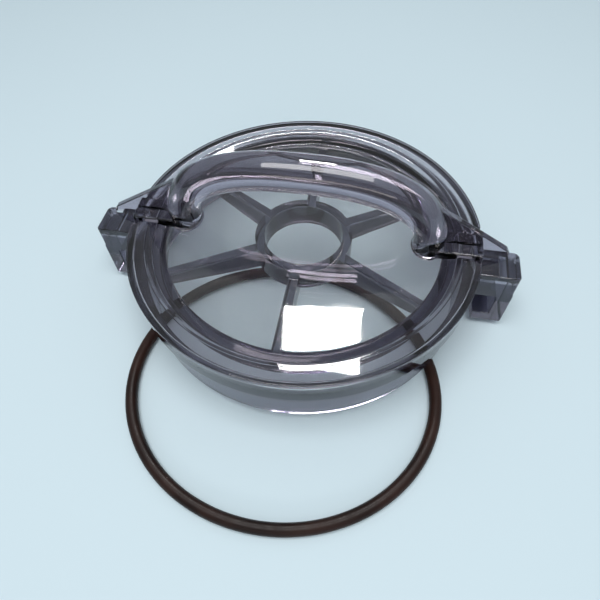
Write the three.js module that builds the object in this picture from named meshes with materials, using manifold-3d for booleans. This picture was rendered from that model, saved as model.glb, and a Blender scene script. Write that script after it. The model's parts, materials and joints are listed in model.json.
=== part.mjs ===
// A pump strainer lid with a bow handle and two locking hooks, lying on a table, one edge on its loose seal ring.
// Units are millimetres. The table is z = 0, the hooks lie along X and the seal ring lies towards -Y.
// The lid is drawn level, with z = 0 at the top face of its rim, and is then tilted on to the seal ring.
import * as THREE from "three";
import { mergeVertices } from "three/addons/utils/BufferGeometryUtils.js";
import Module from "manifold-3d";

const wasm = await Module();
wasm.setup();

// Driving dimensions
const GAP = 0.3; // clearance between neighbouring solids
const RIM_R = 80; // outer radius of the lid's rim
const LID_Y = 22.7; // lid axis, measured from the middle of the footprint
const LID_TILT = THREE.MathUtils.degToRad(2.8); // the front of the lid lies on the seal ring
const ROUND = 96; // facets of a large circle

const RIM_T = 3.2; // rim plate thickness
const STEP_R = 69; // outer radius of the step between the rim plate and the window
const WINDOW_R = 63.5;
const WINDOW_TOP = -3;
const WINDOW_BOTTOM = -6.6;
const INNER_RING_BOTTOM = -14;
const WALL_BOTTOM = -12.3; // lower edge of the rim's outer wall
const SKIRT_R = 76;
const SKIRT_INNER_R = 73;
const SKIRT_BOTTOM = -34;

const HUB_R = 22.5;
const HUB_BORE_R = 18.2;
const HUB_BOTTOM = -18.5;
const RIB_COUNT = 6;
const RIB_T = 4.4;
const RIB_END_BOTTOM = -12.5;

const HANDLE_R = 8.2; // radius of the bar
const HANDLE_HALF_SPAN = 56;
const HANDLE_RISE = 30.5;
const HANDLE_POWER = 2.4; // exponent of the bow's superellipse
const BAR_END = 3; // height at which the bar ends and the foot starts

const ARM_HALF_W = 7.5;
const ARM_TOP = 1.8;
const ARM_BOTTOM = -3.2;
const WEB_T = 3.2;

const EAR_HALF_L = 13.5;
const EAR_OUT = 96; // distance from the lid axis to the hook's outer face
const EAR_TOP = -13.7;
const EAR_PLATE_T = 3.2;
const EAR_WALL_T = 6.5;
const EAR_BOTTOM = -35;
const BLOCK_TOP = -3; // of the block on the front half of each hook
const TAB_IN = 82;
const TAB_T = 5.5;

const SEAL_SECTION_R = 2.665; // 5.33 mm section
const SEAL_HALF_X = 67.5; // centreline of the slightly oval seal ring
const SEAL_HALF_Y = 60.3;
const SEAL_FROM_LID = [0, -62.3]; // its middle, from the lid axis

const PLASTIC = { color: 0x8b8a98, roughness: 0.08, metalness: 0, transparent: true, opacity: 0.5 };
const RUBBER = { color: 0x2b1f1c, roughness: 0.45, metalness: 0 };

// Helpers

function named(name, geometry, look = PLASTIC) {
  const mesh = new THREE.Mesh(geometry, new THREE.MeshStandardMaterial(look));
  mesh.name = name;
  return mesh;
}

// A closed [radius, height] outline, anticlockwise, turned about Z.
function turned(outline, facets = ROUND) {
  const onAxis = outline[0][0] === 0;
  const loop = onAxis ? outline : [...outline, outline[0]];
  const points = loop.map(([r, h]) => new THREE.Vector2(r, h));
  return new THREE.LatheGeometry(points, facets).rotateX(Math.PI / 2);
}

// A flat outline of [x, z] points, given a thickness that is centred on y = 0.
function upright(outline, thickness) {
  const shape = new THREE.Shape(outline.map(([x, z]) => new THREE.Vector2(x, z)));
  return new THREE.ExtrudeGeometry(shape, { depth: thickness, bevelEnabled: false })
    .rotateX(Math.PI / 2)
    .translate(0, thickness / 2, 0);
}

function box(x0, x1, y0, y1, z0, z1) {
  return new THREE.BoxGeometry(x1 - x0, y1 - y0, z1 - z0)
    .translate((x0 + x1) / 2, (y0 + y1) / 2, (z0 + z1) / 2);
}

function solidOf(geometry) {
  const bare = new THREE.BufferGeometry().setAttribute("position", geometry.getAttribute("position"));
  if (geometry.index) bare.setIndex(geometry.index);
  const merged = mergeVertices(bare, 1e-4);
  const mesh = new wasm.Mesh({
    numProp: 3,
    vertProperties: merged.getAttribute("position").array,
    triVerts: new Uint32Array(merged.index.array),
  });
  return new wasm.Manifold(mesh);
}

function geometryOf(solid) {
  const mesh = solid.getMesh();
  const geometry = new THREE.BufferGeometry();
  geometry.setAttribute("position", new THREE.BufferAttribute(new Float32Array(mesh.vertProperties), 3));
  geometry.setIndex(new THREE.BufferAttribute(new Uint32Array(mesh.triVerts), 1));
  return geometry;
}

function cut(geometry, ...tools) {
  return geometryOf(tools.reduce((solid, tool) => solid.subtract(solidOf(tool)), solidOf(geometry)));
}

// The lid's disc: window, step ring, rim plate, walls

function windowDisc() {
  const r = WINDOW_R - GAP;
  return named("window_disc", turned([
    [0, WINDOW_BOTTOM], [r, WINDOW_BOTTOM], [r, WINDOW_TOP], [0, WINDOW_TOP],
  ]));
}

// The ring wall around the window, notched on top where the two arms cross it.
function stepRing() {
  const ring = turned([
    [WINDOW_R + 0.6, INNER_RING_BOTTOM], [STEP_R - 0.6, INNER_RING_BOTTOM], [STEP_R, -RIM_T], [STEP_R, -0.5],
    [STEP_R - 0.5, 0], [STEP_R - 2, 0], [WINDOW_R + 1, WINDOW_TOP + 0.8], [WINDOW_R, WINDOW_TOP],
  ]);
  const w = ARM_HALF_W + GAP;
  const notch = box(-RIM_R, RIM_R, -w, w, ARM_BOTTOM - GAP, 1);
  return named("step_ring", cut(ring, notch));
}

// Half of the flat rim plate. It stops short of the hooks with rounded ends.
function rimPlate(name, turn) {
  const inner = STEP_R + GAP;
  const middle = (RIM_R + inner) / 2;
  const half = (RIM_R - inner) / 2;
  const first = Math.asin((ARM_HALF_W + half + 1.5) / middle);
  const last = Math.PI - first;
  const bevel = 0.5;
  const shape = new THREE.Shape();
  shape.absarc(0, 0, RIM_R - bevel, first, last, false);
  shape.absarc(middle * Math.cos(last), middle * Math.sin(last), half - bevel, last, last + Math.PI, false);
  shape.absarc(0, 0, inner + bevel, last, first, true);
  shape.absarc(middle * Math.cos(first), middle * Math.sin(first), half - bevel, first + Math.PI, first, false);
  const geometry = new THREE.ExtrudeGeometry(shape, {
    depth: RIM_T - 2 * bevel, bevelThickness: bevel, bevelSize: bevel, bevelSegments: 1, curveSegments: 40,
  });
  return named(name, geometry.translate(0, 0, bevel - RIM_T).rotateZ(turn));
}

function rimWall() {
  return named("rim_wall", turned([
    [RIM_R - 2.6, WALL_BOTTOM], [RIM_R - 0.7, WALL_BOTTOM], [RIM_R - 0.3, -RIM_T - GAP],
    [RIM_R - 2.8, -RIM_T - GAP],
  ]));
}

function skirtWall() {
  const top = WALL_BOTTOM - GAP;
  return named("skirt_wall", turned([
    [SKIRT_INNER_R, SKIRT_BOTTOM], [SKIRT_R - 0.6, SKIRT_BOTTOM], [SKIRT_R, SKIRT_BOTTOM + 0.6],
    [SKIRT_R + 0.5, top - 2], [RIM_R - 1.6, top - 1.4], [RIM_R - 0.8, top - 0.6], [RIM_R - 0.8, top],
    [SKIRT_INNER_R + 0.6, top],
  ]));
}

// Under the window: hub tube and tapered ribs

function hubTube() {
  const top = WINDOW_BOTTOM - GAP;
  return named("hub_tube", turned([
    [HUB_BORE_R, HUB_BOTTOM], [HUB_R, HUB_BOTTOM], [HUB_R, top], [HUB_BORE_R, top],
  ], 64));
}

function rib(index) {
  const top = WINDOW_BOTTOM - GAP;
  const start = HUB_R + GAP;
  const end = WINDOW_R - GAP;
  const outline = [[start, HUB_BOTTOM], [end, RIB_END_BOTTOM], [end, top], [start, top]];
  const angle = Math.PI / RIB_COUNT + (2 * Math.PI * index) / RIB_COUNT;
  return named(`rib_${index + 1}`, upright(outline, RIB_T).rotateZ(angle));
}

// The bow handle

class Bow extends THREE.Curve {
  constructor(start) {
    super();
    this.start = start; // angle at which the bar leaves its foot
  }

  getPoint(t) {
    const angle = THREE.MathUtils.lerp(this.start, Math.PI - this.start, t);
    const power = 2 / HANDLE_POWER;
    const x = HANDLE_HALF_SPAN * Math.sign(Math.cos(angle)) * Math.abs(Math.cos(angle)) ** power;
    const z = HANDLE_RISE * Math.sin(angle) ** power;
    return new THREE.Vector3(x, 0, z);
  }
}

function bowBar(radius, steps) {
  const start = Math.asin((BAR_END / HANDLE_RISE) ** (HANDLE_POWER / 2));
  const section = new THREE.Shape().absarc(0, 0, radius, 0, 2 * Math.PI, false);
  return new THREE.ExtrudeGeometry(section, {
    steps, bevelEnabled: false, extrudePath: new Bow(start), curveSegments: 12,
  });
}

function handleBar() {
  const trim = box(-RIM_R, RIM_R, -20, 20, -10, BAR_END);
  return named("handle_bar", cut(bowBar(HANDLE_R, 36), trim));
}

function handleFoot(name, side) {
  const bottom = WINDOW_TOP + GAP;
  const top = BAR_END - GAP;
  const foot = turned([
    [0, bottom], [HANDLE_R - 2.4, bottom], [HANDLE_R - 0.8, bottom + 0.8], [HANDLE_R, bottom + 2.4],
    [HANDLE_R, top], [0, top],
  ], 32);
  return named(name, foot.translate(side * HANDLE_HALF_SPAN, 0, 0));
}

// From the handle out to the hooks: a wide arm, and an upright web over it

function arm(name, side) {
  const inner = HANDLE_HALF_SPAN + HANDLE_R + GAP;
  const reach = [inner, RIM_R - 0.5].map((x) => side * x).sort((a, b) => a - b);
  return named(name, box(...reach, -ARM_HALF_W, ARM_HALF_W, ARM_BOTTOM, ARM_TOP));
}

function web(name, side) {
  const low = ARM_TOP + GAP;
  const outside = RIM_R + GAP;
  const plate = upright([
    [HANDLE_HALF_SPAN - 4, low], [outside, low], [outside, EAR_TOP + GAP], [EAR_OUT - 1.5, EAR_TOP + GAP],
    [EAR_OUT - 6, 0.5], [HANDLE_HALF_SPAN - 6, 24.5],
  ], WEB_T);
  const inner = HANDLE_HALF_SPAN + HANDLE_R + GAP;
  const foot = box(HANDLE_HALF_SPAN - 10, inner, -WEB_T, WEB_T, -1, BAR_END + 1);
  const geometry = cut(plate, bowBar(HANDLE_R + GAP, 36), foot);
  return named(name, side > 0 ? geometry : geometry.rotateZ(Math.PI));
}

// The hooks

function earPlate(name, side) {
  const corner = 4;
  const shape = new THREE.Shape([
    [RIM_R + GAP, -EAR_HALF_L], [EAR_OUT - corner, -EAR_HALF_L], [EAR_OUT, -EAR_HALF_L + corner],
    [EAR_OUT, EAR_HALF_L - corner], [EAR_OUT - corner, EAR_HALF_L], [RIM_R + GAP, EAR_HALF_L],
  ].map(([x, y]) => new THREE.Vector2(x, y)));
  const plate = new THREE.ExtrudeGeometry(shape, { depth: EAR_PLATE_T, bevelEnabled: false });
  plate.translate(0, 0, EAR_TOP - EAR_PLATE_T).rotateZ(side > 0 ? 0 : Math.PI);
  return named(name, plate);
}

// The block in front of the web, on the hook's top plate.
function earBlock(name, side) {
  const reach = [RIM_R + GAP, EAR_OUT].map((x) => side * x).sort((a, b) => a - b);
  return named(name, box(...reach, -EAR_HALF_L, -WEB_T / 2 - GAP, EAR_TOP + GAP, BLOCK_TOP));
}

function earWall(name, side) {
  const reach = [EAR_OUT - EAR_WALL_T, EAR_OUT].map((x) => side * x).sort((a, b) => a - b);
  const top = EAR_TOP - EAR_PLATE_T - GAP;
  return named(name, box(...reach, -EAR_HALF_L, EAR_HALF_L, EAR_BOTTOM, top));
}

function earTab(name, side) {
  const reach = [TAB_IN, EAR_OUT - EAR_WALL_T - GAP].map((x) => side * x).sort((a, b) => a - b);
  return named(name, box(...reach, -EAR_HALF_L, EAR_HALF_L, EAR_BOTTOM, EAR_BOTTOM + TAB_T));
}

// The seal ring

function sealRing() {
  const mean = (SEAL_HALF_X + SEAL_HALF_Y) / 2;
  const ring = new THREE.TorusGeometry(mean, SEAL_SECTION_R, 16, ROUND);
  ring.scale(SEAL_HALF_X / mean, SEAL_HALF_Y / mean, 1);
  const mesh = named("seal_ring", ring, RUBBER);
  mesh.position.set(SEAL_FROM_LID[0], LID_Y + SEAL_FROM_LID[1], SEAL_SECTION_R);
  return mesh;
}

// Assembly

function lid() {
  const group = new THREE.Group();
  group.add(windowDisc(), stepRing(), rimPlate("rim_plate_rear", 0), rimPlate("rim_plate_front", Math.PI));
  group.add(rimWall(), skirtWall(), hubTube(), handleBar());
  for (let index = 0; index < RIB_COUNT; index += 1) group.add(rib(index));
  for (const [label, side] of [["left", -1], ["right", 1]]) {
    group.add(handleFoot(`handle_foot_${label}`, side), arm(`arm_${label}`, side), web(`web_${label}`, side));
    group.add(earPlate(`hook_top_${label}`, side), earWall(`hook_wall_${label}`, side));
    group.add(earBlock(`hook_block_${label}`, side), earTab(`hook_tab_${label}`, side));
  }
  group.rotation.x = -LID_TILT;
  const rearFoot = SKIRT_R - 0.6; // the skirt's lower rear edge stands on the table
  const height = rearFoot * Math.sin(LID_TILT) - SKIRT_BOTTOM * Math.cos(LID_TILT);
  group.position.set(0, LID_Y, height);
  return group;
}

const strainerLid = new THREE.Group();
strainerLid.add(lid(), sealRing());

export default strainerLid;
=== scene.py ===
"""A clear smoked pump strainer lid with its loose seal ring, on a plain pale table.

The lid is one moulding, so one seamless mesh stands for all of its CAD solids. It is drawn level, in
millimetres, with z = 0 at the top face of the rim, and is then laid on the tilted CAD lid.
"""

import json
import math

import bmesh
import bpy
from mathutils import Matrix, Vector

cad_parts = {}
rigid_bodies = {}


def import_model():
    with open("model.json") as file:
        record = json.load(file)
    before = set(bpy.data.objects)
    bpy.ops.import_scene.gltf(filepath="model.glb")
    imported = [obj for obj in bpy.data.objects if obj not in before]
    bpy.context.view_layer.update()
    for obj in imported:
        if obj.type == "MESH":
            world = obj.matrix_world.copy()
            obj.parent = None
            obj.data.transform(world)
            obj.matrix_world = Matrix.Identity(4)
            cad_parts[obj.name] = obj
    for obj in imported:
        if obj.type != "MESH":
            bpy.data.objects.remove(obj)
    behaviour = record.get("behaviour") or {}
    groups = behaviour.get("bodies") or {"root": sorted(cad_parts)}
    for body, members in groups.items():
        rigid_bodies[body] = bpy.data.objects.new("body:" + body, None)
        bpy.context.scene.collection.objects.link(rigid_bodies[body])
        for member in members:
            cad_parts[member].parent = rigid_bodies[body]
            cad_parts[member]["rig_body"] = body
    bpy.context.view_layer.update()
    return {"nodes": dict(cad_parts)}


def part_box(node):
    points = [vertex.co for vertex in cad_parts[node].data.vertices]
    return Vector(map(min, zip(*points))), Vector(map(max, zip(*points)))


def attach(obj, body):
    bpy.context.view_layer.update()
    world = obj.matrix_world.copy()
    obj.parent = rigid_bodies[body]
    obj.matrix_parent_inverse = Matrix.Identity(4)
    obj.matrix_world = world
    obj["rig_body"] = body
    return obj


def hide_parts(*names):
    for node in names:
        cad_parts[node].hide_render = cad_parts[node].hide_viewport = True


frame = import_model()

MM = 0.001

# The lid's driving dimensions, as in the CAD but for a few tenths of a millimetre at places
LID_TILT = math.radians(2.8)
RIM_R = 80
RIM_T = 3.2
BAND_TOP = -0.7  # the rim between the raised plates
STEP_R = 69
PLATE_IN = 71.6  # inner edge of the raised rim plates
WINDOW_R = 63.4
WINDOW_TOP = -3
WINDOW_BOTTOM = -6.6
INNER_RING_BOTTOM = -14
WALL_BOTTOM = -12.6
SKIRT_R = 76
SKIRT_INNER_R = 73
SKIRT_BOTTOM = -34
HUB_R = 22.5
HUB_BORE_R = 18.2
HUB_BOTTOM = -18.5
RIB_COUNT = 6
RIB_T = 4.4
RIB_END_BOTTOM = -12.5
HANDLE_R = 8.0
HANDLE_WIDER = 1.06  # the bar is a little wider than it is tall
FOOT_TAPER = 0.86  # and slimmer, seen from the front, where it meets the window
HANDLE_HALF_SPAN = 56
HANDLE_RISE = 30.5
HANDLE_POWER = 2.4
ARM_HALF_W = 7.5
ARM_TOP = 1.8
WEB_T = 3.2
HOOK_HALF_L = 13.5
HOOK_OUT = 96
HOOK_TOP = -13.7
HOOK_PLATE_T = 3.2
HOOK_WALL_T = 6.5
HOOK_BOTTOM = -35
BLOCK_TOP = -3  # of the block on the front half of each hook
TAB_IN = 82
TAB_T = 5.5

TURNS = 192  # facets round the lid's axis

# Smoke tints of the thick mouldings, mixed with painted shade that darkens the thick parts, most of all the
# walls and ribs under the window
SKIRT_SMOKE_AND_SHADE = (0.28, 0.26, 0.33, 1)
WALL_SMOKE_AND_SHADE = (0.045, 0.04, 0.062, 1)
NO_SMOKE = (1, 1, 1, 1)
RIM_SMOKE_AND_SHADE = (0.52, 0.48, 0.55, 1)


# Mesh helpers

def new_object(name, bm):
    bmesh.ops.recalc_face_normals(bm, faces=bm.faces)
    mesh = bpy.data.meshes.new(name)
    bm.to_mesh(mesh)
    bm.free()
    obj = bpy.data.objects.new(name, mesh)
    bpy.context.scene.collection.objects.link(obj)
    return obj


def rounded(corners, steps=5):
    """An outline of (x, y, radius) corners, each rounded with an arc. A radius of 0 keeps the corner."""
    points = []
    for i, (x, y, radius) in enumerate(corners):
        here = Vector((x, y))
        if radius == 0:
            points.append(here)
            continue
        before = (Vector(corners[i - 1][:2]) - here).normalized()
        after = (Vector(corners[(i + 1) % len(corners)][:2]) - here).normalized()
        half = math.acos(max(-1, min(1, before.dot(after)))) / 2
        reach = radius / math.tan(half)
        centre = here + (before + after).normalized() * (radius / math.sin(half))
        start = here + before * reach - centre
        turn = start.angle_signed(here + after * reach - centre)
        for k in range(steps + 1):
            angle = -turn * k / steps
            points.append(centre + Matrix.Rotation(angle, 2) @ start)
    return points


def turned(name, outline, turns=TURNS):
    """A closed solid from an outline of (radius, height) points, turned about Z."""
    bm = bmesh.new()
    rings = []
    for r, z in outline:
        if r == 0:
            rings.append([bm.verts.new((0, 0, z))] * turns)
            continue
        angles = [2 * math.pi * k / turns for k in range(turns)]
        rings.append([bm.verts.new((r * math.cos(a), r * math.sin(a), z)) for a in angles])
    for here, following in zip(rings, rings[1:] + rings[:1]):
        for k in range(turns):
            j = (k + 1) % turns
            corners = list(dict.fromkeys((here[k], here[j], following[j], following[k])))
            if len(corners) > 2:
                bm.faces.new(corners)
    return new_object(name, bm)


def prism(name, outline, low, high, place=Matrix(), bevel=0.0):
    """A flat outline between two heights, with its edges bevelled, and then put in place."""
    bm = bmesh.new()
    bottom = bm.faces.new([bm.verts.new((x, y, low)) for x, y in outline])
    top = bmesh.ops.extrude_face_region(bm, geom=[bottom])["geom"]
    raised = [v for v in top if isinstance(v, bmesh.types.BMVert)]
    bmesh.ops.translate(bm, vec=(0, 0, high - low), verts=raised)
    if bevel:
        sharp = [e for e in bm.edges if e.calc_face_angle(0) > math.radians(40)]
        bmesh.ops.bevel(bm, geom=sharp, offset=bevel, segments=3, profile=0.5, affect="EDGES")
    bmesh.ops.transform(bm, matrix=place, verts=bm.verts)
    return new_object(name, bm)


def swept(name, path, sections, sides=56):
    """A bar with an oval section, (half width, half height), along a path in the XZ plane, with flat ends."""
    bm = bmesh.new()
    rings = []
    for i, (point, (wide, tall)) in enumerate(zip(path, sections)):
        along = (path[min(i + 1, len(path) - 1)] - path[max(i - 1, 0)]).normalized()
        across = Vector((0, 1, 0))
        up = along.cross(across)
        angles = [2 * math.pi * k / sides for k in range(sides)]
        ring = [point + across * (math.cos(a) * wide) + up * (math.sin(a) * tall) for a in angles]
        rings.append([bm.verts.new(p) for p in ring])
    for here, following in zip(rings, rings[1:]):
        for k in range(sides):
            j = (k + 1) % sides
            bm.faces.new((here[k], here[j], following[j], following[k]))
    bm.faces.new(rings[0])
    bm.faces.new(rings[-1])
    return new_object(name, bm)


def join(target, tools):
    """One closed solid from several that overlap."""
    for tool in tools:
        union = target.modifiers.new("union", "BOOLEAN")
        union.operation = "UNION"
        union.solver = "MANIFOLD"
        union.object = tool
    graph = bpy.context.evaluated_depsgraph_get()
    mesh = bpy.data.meshes.new_from_object(target.evaluated_get(graph))
    target.modifiers.clear()
    target.data = mesh
    for tool in tools:
        bpy.data.objects.remove(tool)
    return target


UPRIGHT = Matrix.Rotation(math.pi / 2, 4, "X")  # an outline of (x, z) points, given a thickness along Y
TURNED_ROUND = Matrix.Rotation(math.pi, 4, "Z")


# The lid's pieces

def lid_disc():
    """Window, sloping step, rim and skirt as one turned section."""
    return turned("lid", rounded([
        (0, WINDOW_TOP, 0), (WINDOW_R, WINDOW_TOP, 0.8), (PLATE_IN - 1, BAND_TOP, 2.5),
        (RIM_R - 0.5, BAND_TOP, 0.5), (RIM_R - 0.8, WALL_BOTTOM - 1, 0.7),
        (SKIRT_R + 0.6, WALL_BOTTOM - 2, 0.9), (SKIRT_R, SKIRT_BOTTOM, 0.2),
        (SKIRT_INNER_R, SKIRT_BOTTOM, 0.2), (SKIRT_INNER_R + 0.6, WALL_BOTTOM + 0.3, 0.7),
        (RIM_R - 2.8, WALL_BOTTOM + 0.3, 0.7), (RIM_R - 2.6, -RIM_T, 0.7), (STEP_R, -RIM_T, 0.7),
        (STEP_R - 0.6, INNER_RING_BOTTOM, 0.6), (WINDOW_R + 0.6, INNER_RING_BOTTOM, 0.6),
        (WINDOW_R + 0.2, WINDOW_BOTTOM, 0.8), (0, WINDOW_BOTTOM, 0),
    ]))


def rim_plate(side):
    """Half of the raised rim plate, which ends beside the arms in round ends."""
    middle = (RIM_R + PLATE_IN) / 2
    half = (RIM_R - PLATE_IN) / 2
    first = math.asin((ARM_HALF_W + half + 1) / middle)
    last = math.pi - first
    steps = 72
    span = [first + (last - first) * k / steps for k in range(steps + 1)]
    cap = [math.pi * k / 12 for k in range(1, 12)]
    outline = [(RIM_R * math.cos(a), RIM_R * math.sin(a)) for a in span]
    for end, inward in ((last, 1), (first, -1)):
        centre = Vector((middle * math.cos(end), middle * math.sin(end)))
        start = end if inward == 1 else end + math.pi
        turns = [start + c for c in cap]
        outline += [(centre.x + half * math.cos(a), centre.y + half * math.sin(a)) for a in turns]
        if inward == 1:
            outline += [(PLATE_IN * math.cos(a), PLATE_IN * math.sin(a)) for a in reversed(span)]
    place = Matrix() if side > 0 else TURNED_ROUND
    return prism("rim_plate", outline, BAND_TOP - 1.6, 0, place, bevel=0.65)


def hub():
    return turned("hub", rounded([
        (HUB_BORE_R, WINDOW_BOTTOM + 1, 0), (HUB_BORE_R, HUB_BOTTOM, 0.7), (HUB_R, HUB_BOTTOM, 0.7),
        (HUB_R, WINDOW_BOTTOM + 1, 0),
    ]), 96)


def rib(index):
    start, end, top = HUB_R - 1.5, WINDOW_R + 2, WINDOW_BOTTOM + 1
    outline = [(start, HUB_BOTTOM + 0.2), (end, RIB_END_BOTTOM), (end, top), (start, top)]
    angle = math.pi / RIB_COUNT + 2 * math.pi * index / RIB_COUNT
    place = Matrix.Rotation(angle, 4, "Z") @ UPRIGHT
    return prism("rib", outline, -RIB_T / 2, RIB_T / 2, place, bevel=0.5)


def handle():
    """The bow is a superellipse, and its ends run down into the window with a small fillet."""
    steps = 110
    path = []
    for k in range(steps + 1):
        angle = math.pi * k / steps
        across = math.copysign(abs(math.cos(angle)) ** (2 / HANDLE_POWER), math.cos(angle))
        rise = abs(math.sin(angle)) ** (2 / HANDLE_POWER)
        path.append(Vector((HANDLE_HALF_SPAN * across, 0, HANDLE_RISE * rise)))
    foot = [0.2, 0.6, 1.0, 1.4, 1.8, 2.2, 2.6, 3.0, 3.8]  # depths below the bow's ends
    start = [Vector((HANDLE_HALF_SPAN, 0, -depth)) for depth in reversed(foot)]
    end = [Vector((-HANDLE_HALF_SPAN, 0, -depth)) for depth in foot]
    whole = start + path + end
    fillet = 1.3
    sections = []
    for point in whole:
        height = min(max(point.z - WINDOW_TOP, 0), fillet)
        flare = fillet - math.sqrt(fillet ** 2 - (fillet - height) ** 2)
        slim = FOOT_TAPER + (1 - FOOT_TAPER) * min(max((point.z - WINDOW_TOP) / (HANDLE_RISE * 0.7), 0), 1)
        sections.append((HANDLE_R * HANDLE_WIDER + flare, HANDLE_R * slim + flare))
    return swept("handle", whole, sections)


def arm(side):
    inner, outer = HANDLE_HALF_SPAN, RIM_R - 0.6
    outline = [(inner, -ARM_HALF_W), (outer, -ARM_HALF_W), (outer, ARM_HALF_W), (inner, ARM_HALF_W)]
    place = Matrix() if side > 0 else TURNED_ROUND
    return prism("arm", outline, WINDOW_TOP - 0.12, ARM_TOP, place, bevel=0.9)


def web(side):
    shoulder = HANDLE_HALF_SPAN - 6
    outline = rounded([
        (shoulder, -1, 0), (RIM_R - 1, -1, 0), (RIM_R - 1, HOOK_TOP - 1, 0),
        (HOOK_OUT - 1.6, HOOK_TOP - 1, 0),
        (HOOK_OUT - 6, 0.5, 3), (shoulder, 24.5, 0),
    ])
    place = (Matrix() if side > 0 else TURNED_ROUND) @ UPRIGHT
    return prism("web", outline, -WEB_T / 2, WEB_T / 2, place, bevel=0.45)


def hook(side):
    """The C-shaped locking hook: a plate, an outer wall and an inward tab."""
    root = SKIRT_R - 1.5
    wall = HOOK_OUT - HOOK_WALL_T
    under = HOOK_TOP - HOOK_PLATE_T
    outline = rounded([
        (root, HOOK_TOP, 0), (HOOK_OUT, HOOK_TOP, 1.6), (HOOK_OUT, HOOK_BOTTOM, 1.0),
        (TAB_IN, HOOK_BOTTOM, 0.6), (TAB_IN, HOOK_BOTTOM + TAB_T, 0.6), (wall, HOOK_BOTTOM + TAB_T, 0.8),
        (wall, under, 0.8), (root, under, 0),
    ])
    place = (Matrix() if side > 0 else TURNED_ROUND) @ UPRIGHT
    return prism("hook", outline, -HOOK_HALF_L, HOOK_HALF_L, place, bevel=0.45)


def hook_block(side):
    """The block in front of the web, with a round outer corner."""
    front, back = -HOOK_HALF_L, WEB_T / 2
    outline = rounded([
        (side * (SKIRT_R - 1), back, 0), (side * HOOK_OUT, back, 2.6), (side * HOOK_OUT, front, 1.4),
        (side * (SKIRT_R + 1), front, 0),
    ])
    return prism("hook_block", outline, HOOK_TOP - 1, BLOCK_TOP, bevel=0.6)


def lid_place():
    """From the level lid, in millimetres, to the tilted CAD lid, in metres."""
    low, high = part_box("window_disc")
    middle = (low + high) / 2
    turn = Matrix.Rotation(-LID_TILT, 4, "X")
    offset = turn @ Vector((0, 0, (WINDOW_TOP + WINDOW_BOTTOM) / 2 * MM))
    return Matrix.Translation(middle - offset) @ turn @ Matrix.Scale(MM, 4)


def smooth(obj, angle, keep_flat):
    """Smooth shading with sharp edges, where large flat faces keep their own normals."""
    for face in obj.data.polygons:
        face.use_smooth = True
    obj.data.set_sharp_from_angle(angle=math.radians(angle))
    if keep_flat:
        weighted = obj.modifiers.new("flats", "WEIGHTED_NORMAL")
        weighted.keep_sharp = True


def make_lid():
    tools = [rim_plate(1), rim_plate(-1), hub(), handle()]
    tools += [rib(index) for index in range(RIB_COUNT)]
    for side in (-1, 1):
        tools += [arm(side), web(side), hook(side), hook_block(side)]
    lid = join(lid_disc(), tools)
    lid.data.transform(lid_place())
    smooth(lid, 32, True)
    lid.data.materials.clear()
    lid.data.materials.append(smoked_plastic())
    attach(lid, "lid")
    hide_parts(*[n for n, o in frame["nodes"].items() if o["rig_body"] == "lid"])
    return lid


# The seal ring

def make_seal_ring():
    """A soft ring that lies a little out of round, with a fine moulding line round its waist."""
    low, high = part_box("seal_ring")
    middle = (low + high) / 2
    section = (high.z - low.z) / 2
    half_x = (high.x - low.x) / 2 - section
    half_y = (high.y - low.y) / 2 - section
    steps, sides = 288, 28
    flash = 0.04 * MM
    bm = bmesh.new()
    rings = []
    for i in range(steps):
        a = 2 * math.pi * i / steps
        centre = middle + Vector((half_x * math.cos(a), half_y * math.sin(a), 0))
        outward = Vector((half_y * math.cos(a), half_x * math.sin(a), 0)).normalized()
        ring = []
        for k in range(sides):
            b = 2 * math.pi * k / sides
            radius = section * 0.985 + (flash if k % (sides // 2) == 0 else 0)
            away = outward * math.cos(b) + Vector((0, 0, 1)) * math.sin(b)
            ring.append(bm.verts.new(centre + away * radius))
        rings.append(ring)
    for here, following in zip(rings, rings[1:] + rings[:1]):
        for k in range(sides):
            j = (k + 1) % sides
            bm.faces.new((here[k], here[j], following[j], following[k]))
    ring = new_object("seal_ring_body", bm)
    smooth(ring, 60, False)
    ring.data.materials.append(rubber())
    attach(ring, "seal_ring")
    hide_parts("seal_ring")
    return ring


# Materials

def material(name):
    mat = bpy.data.materials.new(name)
    mat.use_nodes = True
    return mat, mat.node_tree.nodes, mat.node_tree.links


def scattered(nodes, links, scale, detail, low, high, seed=0.0):
    """Noise in the object's own coordinates, mapped to a range of values."""
    where = nodes.new("ShaderNodeTexCoord")
    cloud = nodes.new("ShaderNodeTexNoise")
    cloud.noise_dimensions = "4D"
    cloud.inputs["W"].default_value = seed
    cloud.inputs["Scale"].default_value = scale
    cloud.inputs["Detail"].default_value = detail
    spread = nodes.new("ShaderNodeMapRange")
    spread.inputs["From Min"].default_value = 0.35
    spread.inputs["From Max"].default_value = 0.65
    spread.inputs["To Min"].default_value = low
    spread.inputs["To Max"].default_value = high
    links.new(where.outputs["Object"], cloud.inputs["Vector"])
    links.new(cloud.outputs["Fac"], spread.inputs["Value"])
    return spread.outputs["Result"]


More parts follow.
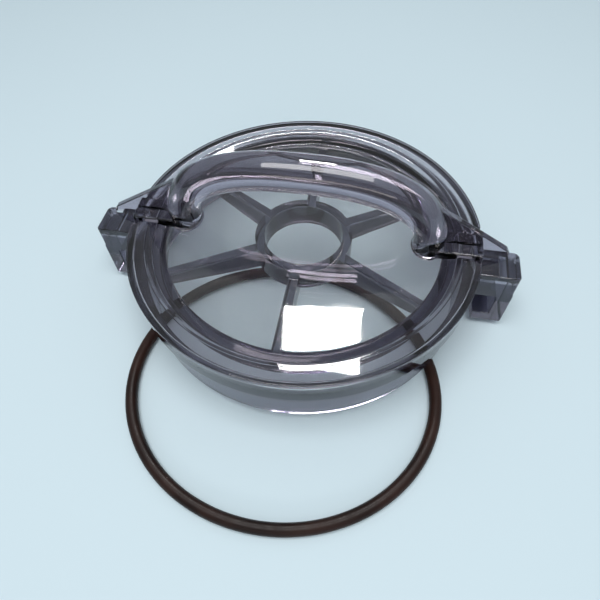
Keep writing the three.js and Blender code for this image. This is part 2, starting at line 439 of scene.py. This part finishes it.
def smoke_and_shade_by_height(nodes, links):
    """Base colour by height, a smoke tint mixed with painted shade: clear at the window's own faces, smoky on
    the rim and handle, and painted darkest on the ribs and walls below, where light crosses the most plastic
    and shade falls under the window.
    """
    above = Matrix.Rotation(-LID_TILT, 3, "X") @ Vector((0, 0, 1))
    window = lid_place() @ Vector((0, 0, WINDOW_TOP))
    where = nodes.new("ShaderNodeTexCoord")
    height = nodes.new("ShaderNodeVectorMath")
    height.operation = "DOT_PRODUCT"
    height.inputs[1].default_value = above
    spread = nodes.new("ShaderNodeMapRange")
    deepest, highest = -28, 7
    spread.inputs["From Min"].default_value = window.dot(above) + (deepest - WINDOW_TOP) * MM
    spread.inputs["From Max"].default_value = window.dot(above) + (highest - WINDOW_TOP) * MM
    shade = nodes.new("ShaderNodeValToRGB")
    stops = shade.color_ramp.elements
    # Painted shade: the stops below the window darken the ribs and walls, and the smoky stops darken the rim
    # and handle.
    smoke_and_shade_stops = [(-22, SKIRT_SMOKE_AND_SHADE), (HUB_BOTTOM, WALL_SMOKE_AND_SHADE), (WINDOW_BOTTOM - 1, WALL_SMOKE_AND_SHADE),
             (WINDOW_BOTTOM - 0.2, NO_SMOKE), (WINDOW_TOP + 0.1, NO_SMOKE), (-1.8, RIM_SMOKE_AND_SHADE)]
    for _ in range(len(smoke_and_shade_stops) - len(stops)):
        stops.new(0.5)
    for stop, (z, tint) in zip(stops, smoke_and_shade_stops):
        stop.position = (z - deepest) / (highest - deepest)
        stop.color = tint
    links.new(where.outputs["Object"], height.inputs[0])
    links.new(height.outputs["Value"], spread.inputs["Value"])
    links.new(spread.outputs["Result"], shade.inputs["Fac"])
    return shade.outputs["Color"]


def smoked_plastic():
    """Clear polycarbonate with a smoke tint, which deepens with the thickness that light crosses; its base
    colour adds painted shade, darkest on the ribs and walls below the window.
    """
    mat, nodes, links = material("smoked_plastic")
    shader = nodes["Principled BSDF"]
    # The base colour carries painted shade from the height ramp.
    links.new(smoke_and_shade_by_height(nodes, links), shader.inputs["Base Color"])
    shader.inputs["Transmission Weight"].default_value = 1
    shader.inputs["IOR"].default_value = 1.58
    links.new(scattered(nodes, links, 60, 3, 0.012, 0.045), shader.inputs["Roughness"])
    ripple = nodes.new("ShaderNodeBump")
    ripple.inputs["Strength"].default_value = 0.12
    ripple.inputs["Distance"].default_value = 0.0006
    links.new(scattered(nodes, links, 22, 2, 0, 1, 4.0), ripple.inputs["Height"])
    links.new(ripple.outputs["Normal"], shader.inputs["Normal"])
    tint = nodes.new("ShaderNodeVolumeAbsorption")
    tint.inputs["Color"].default_value = (0.47, 0.44, 0.55, 1)
    tint.inputs["Density"].default_value = 22
    links.new(tint.outputs["Volume"], nodes["Material Output"].inputs["Volume"])
    return mat


def rubber():
    mat, nodes, links = material("seal_rubber")
    shader = nodes["Principled BSDF"]
    shade = nodes.new("ShaderNodeValToRGB")
    shade.color_ramp.elements[0].color = (0.012, 0.006, 0.005, 1)
    shade.color_ramp.elements[1].color = (0.034, 0.016, 0.012, 1)
    shader.inputs["Specular IOR Level"].default_value = 0.18
    links.new(scattered(nodes, links, 45, 4, 0, 1), shade.inputs["Fac"])
    links.new(shade.outputs["Color"], shader.inputs["Base Color"])
    links.new(scattered(nodes, links, 300, 3, 0.34, 0.5, 2.0), shader.inputs["Roughness"])
    grain = nodes.new("ShaderNodeBump")
    grain.inputs["Strength"].default_value = 0.25
    grain.inputs["Distance"].default_value = 0.00008
    links.new(scattered(nodes, links, 1400, 3, 0, 1, 7.0), grain.inputs["Height"])
    links.new(grain.outputs["Normal"], shader.inputs["Normal"])
    return mat


def table_top():
    mat, nodes, _ = material("table_top")
    shader = nodes["Principled BSDF"]
    shader.inputs["Base Color"].default_value = (0.60, 0.73, 0.79, 1)
    shader.inputs["Roughness"].default_value = 0.75
    shader.inputs["Specular IOR Level"].default_value = 0.2
    return mat


# Table, camera and light

def make_table():
    bm = bmesh.new()
    bmesh.ops.create_grid(bm, x_segments=1, y_segments=1, size=4)
    table = new_object("table", bm)
    table.data.materials.append(table_top())


def make_camera(axis):
    """The photograph's view: high in front of the lid, a little to the right, and slightly rolled."""
    camera = bpy.data.objects.new("camera", bpy.data.cameras.new("camera"))
    bpy.context.scene.collection.objects.link(camera)
    camera.data.lens = 30
    camera.data.sensor_width = 36
    camera.data.clip_start = 0.01
    forward = Vector((-0.1176, 0.5304, -0.8395)).normalized()
    right = Vector((0.9845, 0.1730, -0.0286)).normalized()
    above = right.cross(forward).normalized()
    turn = Matrix((right, above, -forward)).transposed().to_4x4()
    camera.matrix_world = Matrix.Translation(axis + Vector((29.5, -148.6, 210.6)) * MM) @ turn
    bpy.context.scene.camera = camera


def area_light(name, aim, direction, distance, width, height, power, colour):
    data = bpy.data.lights.new(name, "AREA")
    data.shape = "RECTANGLE"
    data.size = width
    data.size_y = height
    data.energy = power
    data.color = colour
    light = bpy.data.objects.new(name, data)
    bpy.context.scene.collection.objects.link(light)
    away = Vector(direction).normalized()
    light.location = aim + away * distance
    light.rotation_mode = "QUATERNION"
    light.rotation_quaternion = away.to_track_quat("Z", "Y")
    return light


def from_angles(azimuth, elevation):
    """A direction, from degrees clockwise of +Y seen from above, and degrees above the table."""
    a, e = math.radians(azimuth), math.radians(elevation)
    return (math.sin(a) * math.cos(e), math.cos(a) * math.cos(e), math.sin(e))


def make_lights(axis):
    aim = axis + Vector((0, -50, 35)) * MM
    mirrored = from_angles(-5.6, 56.4)  # where the window and rim mirror the camera's view
    softbox = area_light("window_softbox", aim, mirrored, 1.4, 0.26, 0.21, 9.0, (1, 0.99, 0.97))
    softbox.visible_diffuse = False  # it is there for its reflection, and would put a shadow in front
    area_light("overhead", aim, from_angles(180, 85), 0.9, 0.7, 0.4, 6.2, (1, 0.98, 0.97))
    area_light("front_strip", aim, from_angles(175, 24), 1.5, 1.3, 0.22, 2.5, (1, 0.93, 0.90))
    bpy.context.scene.world = room()


def room():
    """A grey room, a little lighter towards the ceiling, so that the thick plastic reflects no white sky."""
    world = bpy.data.worlds.new("room")
    world.use_nodes = True
    nodes, links = world.node_tree.nodes, world.node_tree.links
    where = nodes.new("ShaderNodeTexCoord")
    split = nodes.new("ShaderNodeSeparateXYZ")
    ramp = nodes.new("ShaderNodeValToRGB")
    stops = ramp.color_ramp.elements
    stops[0].position, stops[0].color = 0.1, (0.28, 0.30, 0.32, 1)
    stops[1].position, stops[1].color = 0.75, (0.42, 0.45, 0.47, 1)
    links.new(where.outputs["Generated"], split.inputs["Vector"])
    links.new(split.outputs["Z"], ramp.inputs["Fac"])
    links.new(ramp.outputs["Color"], nodes["Background"].inputs["Color"])
    nodes["Background"].inputs["Strength"].default_value = 1.0
    return world


lid_low, lid_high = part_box("rim_wall")
lid_axis = Vector(((lid_low.x + lid_high.x) / 2, (lid_low.y + lid_high.y) / 2, 0))

make_camera(lid_axis)
make_lid()
make_seal_ring()
make_table()
make_lights(lid_axis)

scene = bpy.context.scene
scene.view_settings.view_transform = "Standard"
scene.cycles.max_bounces = 32
scene.cycles.transmission_bounces = 28
